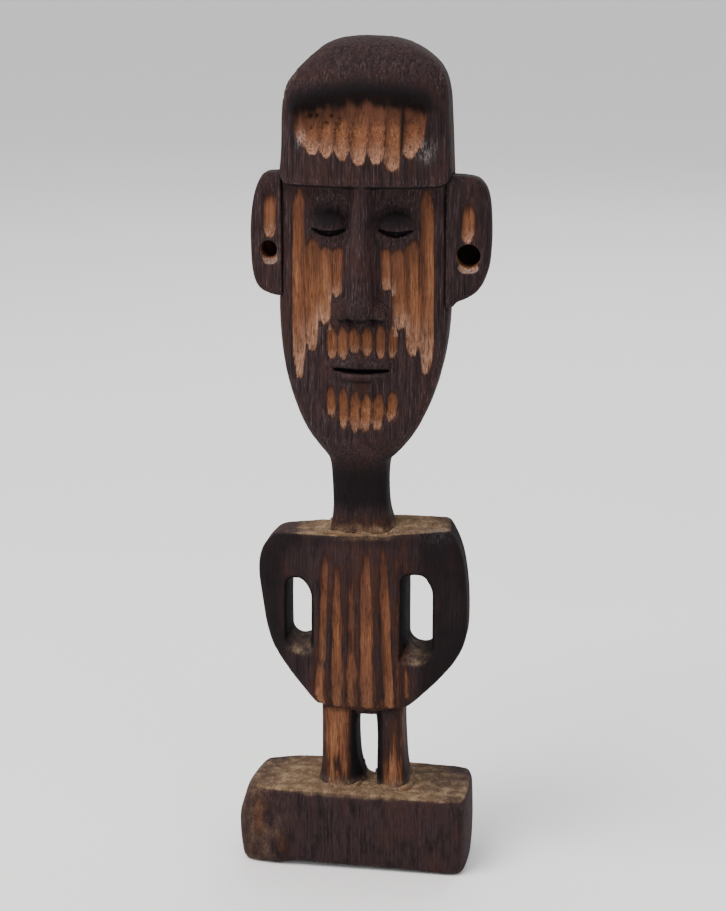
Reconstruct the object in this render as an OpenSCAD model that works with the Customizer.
// Carved wooden ancestor figure standing on a block.
// Origin: on the block's underside, below the middle of the figure. +Z is up and the
// figure faces -Y.
// Left and right are those of a viewer who stands in front of the figure.

/* [Base block] */
// Width of the block
base_w = 62.5; // [56:0.5:70]
// How far the block's middle lies to the left of the figure's
base_shift = 2; // [0:0.5:3]
// Depth of the block, front to back
base_d = 24; // [22:0.5:30]
// Height of the block
base_h = 22; // [16:0.5:28]
// Radius of the block's front left upright edge
base_round = 6; // [3:0.5:8]
// Radius of the block's other upright edges
base_edge = 3.5; // [2:0.5:6]

/* [Legs] */
// Height of the legs between the block and the torso
leg_h = 22; // [16:0.5:28]
// Width of the left leg
left_leg_w = 9.5; // [8:0.25:10]
// Width of the right leg
right_leg_w = 8; // [7.5:0.25:9.5]
// Depth of both legs, front to back
leg_d = 14; // [11:0.5:16]
// Width of the gap between the legs
leg_gap = 5.5; // [4:0.25:7]
// How far each foot spreads into the gap
foot_flare = 1.2; // [0.5:0.1:1.6]

/* [Torso] */
// Width across both arms
torso_w = 56; // [50:1:62]
// Thickness of the trunk at its middle
torso_d = 19; // [17:0.5:22]
// Height from the hips to the shoulders
torso_h = 49.5; // [46:0.5:56]
// Width of the see-through slot between the left arm and the trunk
left_slot_w = 6.5; // [5:0.25:7]
// Height of the left slot
left_slot_h = 18; // [13:0.5:21]
// Width of the see-through slot between the right arm and the trunk
right_slot_w = 7; // [5:0.25:7.5]
// Height of the right slot
right_slot_h = 21; // [14:0.5:23]
// Number of long cuts down the chest
chest_cuts = 5; // [3:1:6]
// Width of one chest cut
chest_cut_w = 2.6; // [1.5:0.1:3]

/* [Neck and head] */
// Height of the neck
neck_h = 20.5; // [15:0.5:25]
// Width of the neck
neck_w = 15.5; // [13:0.5:17]
// Depth of the neck, front to back
neck_d = 13; // [11:0.5:14]
// Height of the face, chin to cap
face_h = 70; // [62:1:78]
// Width of the face
face_w = 43; // [40:0.5:46]
// Height of the cap
cap_h = 36; // [32:1:42]
// Depth of the head at the cap, front to back
head_d = 23; // [21:0.5:24]

/* [Ears] */
// Height of each ear
ear_h = 31; // [26:0.5:34]
// Width of the left ear
left_ear_w = 8.5; // [7.5:0.25:10]
// Width of the right ear
right_ear_w = 10.5; // [9:0.25:12]
// Thickness of each ear
ear_t = 9; // [7:0.5:9.5]
// Diameter of the blind hole drilled in each lobe
ear_hole_d = 5.5; // [4:0.25:6]

/* [Joints] */
// Diameter of the round tenons on the legs
leg_tenon_d = 5; // [4:0.25:5.5]
// Diameter of the round tenon under the neck
neck_tenon_d = 8; // [6:0.25:9]
// Length of every round tenon
tenon_l = 9; // [6:0.5:11]
// Glue gap round a tenon
glue_gap = 0.05; // [0.02:0.01:0.1]

/* [Hidden] */

$fn = 48;
scorched = [0.20, 0.15, 0.14];
scorched_light = [0.28, 0.20, 0.17];
bare_wood = [0.60, 0.35, 0.20];
filler = [0.58, 0.47, 0.34];

// Levels, from the floor up
hip_z = base_h + leg_h;
shoulder_z = hip_z + torso_h;
chin_z = shoulder_z + neck_h;
brow_z = chin_z + face_h;
top_z = brow_z + cap_h;

// Legs: the gap lies a little right of the middle
gap_x = 1;
left_leg_x = gap_x - leg_gap / 2 - left_leg_w / 2;
right_leg_x = gap_x + leg_gap / 2 + right_leg_w / 2;
flare_h = leg_h * 0.45;
leg_chamfer = 2.5;

// Torso: one side of its outline, as fractions of its half width and height
torso_side = [
    [0.41, 0], [0.64, 0.13], [0.78, 0.22], [0.88, 0.31], [0.95, 0.41], [0.98, 0.53],
    [1.00, 0.71], [0.98, 0.87], [0.91, 0.94], [0.79, 1]
];
torso_curve = 64;
left_slot_x = -torso_w * 0.305;
right_slot_x = torso_w * 0.265;
slot_z = hip_z + torso_h * 0.53;
slot_mouth = 1.5;
slot_mouth_depth = 3;
cut_pitch = 4.1;
cut_middle_x = -1.5;
cut_r = 2;
cut_foot = 2;
cut_head = 7;

// Head: its plan is a lens whose front is flatter than its back
neck_x = -0.6;
cap_overhang = 0.5;
head_half_w = face_w / 2 + cap_overhang;
head_front_curve = 40;
head_back_curve = 36;
head_front_y = -head_d / 2 - 0.5;
head_back_y = head_d / 2 - 0.5;
face_y = head_front_y + 3;
jaw_z = chin_z + face_h * 0.57;
jaw_drop = (jaw_z - chin_z) * 1.085;
cap_side_z = brow_z + cap_h * 0.47;
outline_steps = 14;

// Face features on the canon of three equal parts from brow to chin's foot
third = face_h / 2;
eye_z = brow_z - third * 0.27;
nose_z = brow_z - third;
mouth_z = nose_z - third / 3;
eye_x = face_w * 0.2;
eye_hole_d = 4.5;
eye_hole_depth = 6;
nose_w = 12;
nose_bridge_w = 4;

// Gouge cuts in the cap and face
panel_w = 34;
panel_top_z = brow_z + cap_h * 0.62;
panel_foot_z = brow_z + cap_h * 0.19;
panel_depth = 2;
panel_gouges = 7;
lip_gouges = 5;
gouge_tilt = 7;

// Ears: a shallow seat in the head, and a tongue in its mortise
ear_seat_x = face_w / 2 - 0.5;
ear_top_z = brow_z + 2;
ear_mid_y = -1;
ear_hole_z = ear_top_z - ear_h * 0.62;
ear_hole_depth = 6;
tongue_l = 3;
tongue_h = 14;
tongue_t = 4;

// Collars of filler at the foot of the neck and legs
collar_h = 1.2;
collar_spread = 1.3;

// An outline in X and Z, made as thick as the whole figure
module front_slab(depth = 60) {
    rotate([90, 0, 0])
    linear_extrude(depth, center = true)
    children();
}

// An outline in Y and Z, made as wide as the whole figure
module side_slab(width = 80) {
    rotate([90, 0, 90])
    linear_extrude(width, center = true)
    children();
}

// A rectangle with a radius of its own at each corner, counted from the front left
module rounded_plan(w, d, radii) {
    sx = [-1, 1, 1, -1];
    sy = [-1, -1, 1, 1];
    corners = [for (i = [0:3]) [sx[i] * (w / 2 - radii[i]), sy[i] * (d / 2 - radii[i])]];
    union() {
        polygon([
            for (i = [0:3])
            for (flat = (i % 2 == 0) ? [[1, 0], [0, 1]] : [[0, 1], [1, 0]])
            corners[i] + [sx[i] * radii[i] * flat[0], sy[i] * radii[i] * flat[1]]
        ]);
        for (i = [0:3]) {
            translate(corners[i])
            circle(radii[i]);
        }
    }
}

// A rectangle with its corners cut off
module chamfered_plan(w, d, c) {
    polygon([
        [-w / 2 + c, -d / 2], [w / 2 - c, -d / 2], [w / 2, -d / 2 + c], [w / 2, d / 2 - c],
        [w / 2 - c, d / 2], [-w / 2 + c, d / 2], [-w / 2, d / 2 - c], [-w / 2, -d / 2 + c]
    ]);
}

// The space between two large arcs that face each other
module lens_plan(front_y, back_y, front_r, back_r) {
    intersection() {
        translate([0, front_y + front_r])
        circle(front_r, $fn = 96);
        translate([0, back_y - back_r])
        circle(back_r, $fn = 96);
    }
}

// One scallop: deep at its foot, and rising to the surface at its head
module gouge(x, surface_y, foot_z, length, width, depth) {
    translate([x, surface_y - width / 2 + depth, foot_z])
    rotate([gouge_tilt, 0, 0])
    cylinder(d = width, h = length, $fn = 24);
}

// A blind round socket that opens upwards or downwards at z
module socket(x, z, d, up) {
    depth = tenon_l + 0.5;
    translate([x, 0, up ? z - depth : z])
    cylinder(d = d + 2 * glue_gap, h = depth);
}

module base() {
    color(scorched)
    difference() {
        translate([-base_shift, 0, 0])
        linear_extrude(base_h)
        rounded_plan(base_w, base_d, [base_round, base_edge, base_edge, base_edge]);
        socket(left_leg_x, base_h, leg_tenon_d, true);
        socket(right_leg_x, base_h, leg_tenon_d, true);
    }
}

// A leg whose inner side, towards the gap, is at +X
module leg(w) {
    reach = w / 2 + leg_d / 2 - leg_chamfer;
    translate([0, 0, base_h])
    union() {
        intersection() {
            front_slab()
            polygon([
                [-w / 2 - foot_flare / 2, 0], [w / 2 + foot_flare, 0], [w / 2, flare_h],
                [w / 2, leg_h], [-w / 2, leg_h], [-w / 2, flare_h]
            ]);
            translate([-w, -leg_d / 2, 0])
            cube([2 * w, leg_d, leg_h]);
            rotate([0, 0, 45])
            cube([reach * sqrt(2), reach * sqrt(2), 3 * leg_h], center = true);
        }
        translate([0, 0, -tenon_l])
        cylinder(d = leg_tenon_d, h = leg_h + 2 * tenon_l);
    }
}

module left_leg() {
    color(bare_wood)
    translate([left_leg_x, 0, 0])
    leg(left_leg_w);
}

module right_leg() {
    color(bare_wood)
    translate([right_leg_x, 0, 0])
    mirror([1, 0, 0])
    leg(right_leg_w);
}

// The surface of the chest at a distance x from the middle
function chest_y(x) = torso_curve - torso_d / 2 - sqrt(torso_curve * torso_curve - x * x);

module torso_outline() {
    right = [for (p = torso_side) [p[0] * torso_w / 2, hip_z + p[1] * torso_h]];
    left = [for (i = [len(right) - 1:-1:0]) [-right[i][0], right[i][1]]];
    polygon(concat(right, left));
}

// A see-through slot with round ends and a wider mouth on the front
module arm_slot(x, w, h) {
    translate([x, 0, slot_z]) {
        slot_cut(w, h, -torso_d, torso_d);
        slot_cut(w + slot_mouth, h + 2 * slot_mouth, -torso_d, chest_y(x) + slot_mouth_depth);
    }
}

module slot_cut(w, h, from_y, to_y) {
    for (end = [-1, 1]) {
        translate([0, to_y, end * (h - w) / 2])
        rotate([90, 0, 0])
        cylinder(d = w, h = to_y - from_y);
    }
    translate([-w / 2, from_y, -(h - w) / 2])
    cube([w, to_y - from_y, h - w]);
}

module chest_cut(x) {
    sink = cut_r - sqrt(cut_r * cut_r - chest_cut_w * chest_cut_w / 4);
    translate([x, chest_y(x) - cut_r + sink, hip_z + cut_foot])
    cylinder(r = cut_r, h = torso_h - cut_foot - cut_head, $fn = 32);
}

module torso() {
    color(scorched_light)
    difference() {
        intersection() {
            front_slab()
            torso_outline();
            linear_extrude(top_z)
            lens_plan(-torso_d / 2, torso_d / 2, torso_curve, torso_curve);
        }
        arm_slot(left_slot_x, left_slot_w, left_slot_h);
        arm_slot(right_slot_x, right_slot_w, right_slot_h);
        for (i = [0:chest_cuts - 1]) {
            chest_cut(cut_middle_x + (i - (chest_cuts - 1) / 2) * cut_pitch);
        }
        socket(left_leg_x, hip_z, leg_tenon_d, false);
        socket(right_leg_x, hip_z, leg_tenon_d, false);
        socket(neck_x, shoulder_z, neck_tenon_d, true);
    }
}

// Half width of the face below the jaw's widest level, and of the cap above its straight side
function jaw_half(z) = face_w / 2 * sqrt(1 - pow((jaw_z - z) / jaw_drop, 2));
function cap_half(z) = head_half_w * pow(1 - pow((z - cap_side_z) / (top_z - cap_side_z), 2.2), 0.5);

module head_outline() {
    jaw = [for (i = [0:outline_steps]) let (z = chin_z + (jaw_z - chin_z) * i / outline_steps)
        [jaw_half(z), z]];
    crown = [for (i = [0:outline_steps - 1]) let (a = 90 * i / outline_steps,
        z = cap_side_z + (top_z - cap_side_z) * sin(a)) [cap_half(z), z]];
    right = concat(jaw, [[face_w / 2, brow_z], [head_half_w, brow_z]], crown, [[0, top_z]]);
    left = [for (i = [len(right) - 2:-1:0]) [-right[i][0], right[i][1]]];
    polygon(concat(right, left));
}

// Side view of the head: flat face, cap standing proud over the brow, domed crown, tapering nape
module head_profile() {
    polygon([
        [-neck_d / 2, chin_z - 1], [face_y + 0.5, chin_z + 5], [face_y, jaw_z], [face_y, brow_z],
        [head_front_y, brow_z], [head_front_y, cap_side_z],
        [head_front_y * 0.88, top_z - cap_h * 0.32], [head_front_y * 0.62, top_z - cap_h * 0.13],
        [head_front_y * 0.25, top_z - 1], [head_front_y * -0.1, top_z],
        [head_back_y * 0.5, top_z - 1.5], [head_back_y * 0.85, top_z - cap_h * 0.2],
        [head_back_y, top_z - cap_h * 0.45], [head_back_y, brow_z - 10],
        [head_back_y * 0.85, jaw_z - 10], [neck_d / 2, chin_z - 1]
    ]);
}

module neck() {
    translate([neck_x, 0, shoulder_z])
    linear_extrude(neck_h + 3)
    chamfered_plan(neck_w, neck_d, 3);
    translate([neck_x, 0, shoulder_z - tenon_l])
    cylinder(d = neck_tenon_d, h = tenon_l + 1);
}

// A plain wedge that widens downwards
module nose() {
    intersection() {
        front_slab()
        polygon([
            [-nose_w / 2, nose_z], [nose_w / 2, nose_z],
            [nose_bridge_w / 2, brow_z], [-nose_bridge_w / 2, brow_z]
        ]);
        side_slab()
        polygon([
            [face_y + 2, nose_z], [head_front_y, nose_z + 1], [head_front_y, nose_z + 5],
            [face_y - 0.5, brow_z - 6], [face_y, brow_z], [face_y + 2, brow_z]
        ]);
    }
}

module cap_panel() {
    pitch = panel_w / panel_gouges;
    surface = head_front_y + panel_depth;
    translate([-panel_w / 2, head_front_y - 5, panel_foot_z + 8])
    cube([panel_w, 5 + panel_depth, panel_top_z - panel_foot_z - 8]);
    for (i = [0:panel_gouges - 1]) {
        x = (i - (panel_gouges - 1) / 2) * pitch;
        gouge(x, head_front_y + pow(x / 12, 2), panel_foot_z + abs(i - 4) * 0.7, 16, pitch, 2.4);
    }
}

module face_cuts() {
    for (side = [-1, 1]) {
        translate([side * eye_x, face_y + eye_hole_depth, eye_z])
        rotate([90, 0, 0])
        cylinder(d = eye_hole_d, h = 2 * eye_hole_depth);
        for (i = [0:1]) {
            gouge(side * (eye_x + 1 + 4 * i), face_y + 0.7 * i, nose_z - 4 + 3 * i, 20, 4, 0.9);
        }
    }
    for (i = [0:lip_gouges - 1]) {
        x = (i - (lip_gouges - 1) / 2) * 3.8;
        gouge(x, face_y, mouth_z + 2.5, 8, 3.8, 0.9);
        gouge(x * 0.85, face_y, mouth_z - 13, 9, 3.4, 0.9);
    }
    translate([0, face_y - 0.3, mouth_z])
    rotate([0, 90, 0])
    cylinder(r = 1, h = 17, center = true, $fn = 24);
}

// The seat and mortise that one ear is let into
module ear_joint(side) {
    margin = 0.05;
    translate([side * (ear_seat_x + 5), ear_mid_y, ear_top_z - ear_h / 2])
    cube([10, ear_t + 2 * margin, ear_h + 2 * margin], center = true);
    translate([side * ear_seat_x, ear_mid_y, ear_top_z - ear_h / 2])
    cube([2 * (tongue_l + margin), tongue_t + 2 * margin, tongue_h + 2 * margin], center = true);
}

module head() {
    color(scorched)
    difference() {
        union() {
            intersection() {
                front_slab()
                head_outline();
                side_slab()
                head_profile();
                linear_extrude(top_z)
                lens_plan(head_front_y, head_back_y, head_front_curve, head_back_curve);
            }
            neck();
            nose();
        }
        cap_panel();
        face_cuts();
        ear_joint(-1);
        ear_joint(1);
    }
}

// An ear that stands out towards +X, with its seat at x = 0
module ear(w, hole_x) {
    low = ear_top_z - ear_h;
    difference() {
        union() {
            translate([0, ear_mid_y, 0])
            front_slab(ear_t)
            polygon([
                [0, low + 1.5], [w * 0.3, low], [w * 0.75, low + 2.5], [w * 0.95, low + 8],
                [w, low + 14], [w, low + 21], [w * 0.9, low + 27], [w * 0.65, ear_top_z - 0.7],
                [w * 0.4, ear_top_z], [0, ear_top_z]
            ]);
            translate([-tongue_l, ear_mid_y - tongue_t / 2, ear_top_z - ear_h / 2 - tongue_h / 2])
            cube([tongue_l + 1, tongue_t, tongue_h]);
        }
        translate([hole_x, ear_mid_y - ear_t / 2 + ear_hole_depth, ear_hole_z])
        rotate([90, 0, 0])
        cylinder(d = ear_hole_d, h = 2 * ear_hole_depth);
        gouge(w * 0.5, ear_mid_y - ear_t / 2, ear_hole_z + 4, 14, 3.4, 0.9);
    }
}

module left_ear() {
    color(scorched)
    translate([-ear_seat_x, 0, 0])
    mirror([1, 0, 0])
    ear(left_ear_w, 3.5);
}

module right_ear() {
    color(scorched)
    translate([ear_seat_x, 0, 0])
    ear(right_ear_w, 5.3);
}

module neck_collar() {
    color(filler)
    translate([neck_x, 0, shoulder_z])
    linear_extrude(collar_h)
    difference() {
        chamfered_plan(neck_w + 2 * collar_spread, neck_d + 2 * collar_spread, 4);
        chamfered_plan(neck_w, neck_d, 3);
    }
}

// A collar round a foot whose inner side is at +X
module foot_collar(w) {
    foot_w = w + 1.5 * foot_flare;
    translate([foot_flare / 4, 0, base_h])
    linear_extrude(collar_h)
    difference() {
        chamfered_plan(foot_w + 2 * collar_spread, leg_d + 2 * collar_spread, leg_chamfer);
        chamfered_plan(foot_w, leg_d, leg_chamfer / 2);
    }
}

module left_foot_collar() {
    color(filler)
    translate([left_leg_x, 0, 0])
    foot_collar(left_leg_w);
}

module right_foot_collar() {
    color(filler)
    translate([right_leg_x, 0, 0])
    mirror([1, 0, 0])
    foot_collar(right_leg_w);
}

base();
left_leg();
right_leg();
torso();
head();
left_ear();
right_ear();
neck_collar();
left_foot_collar();
right_foot_collar();
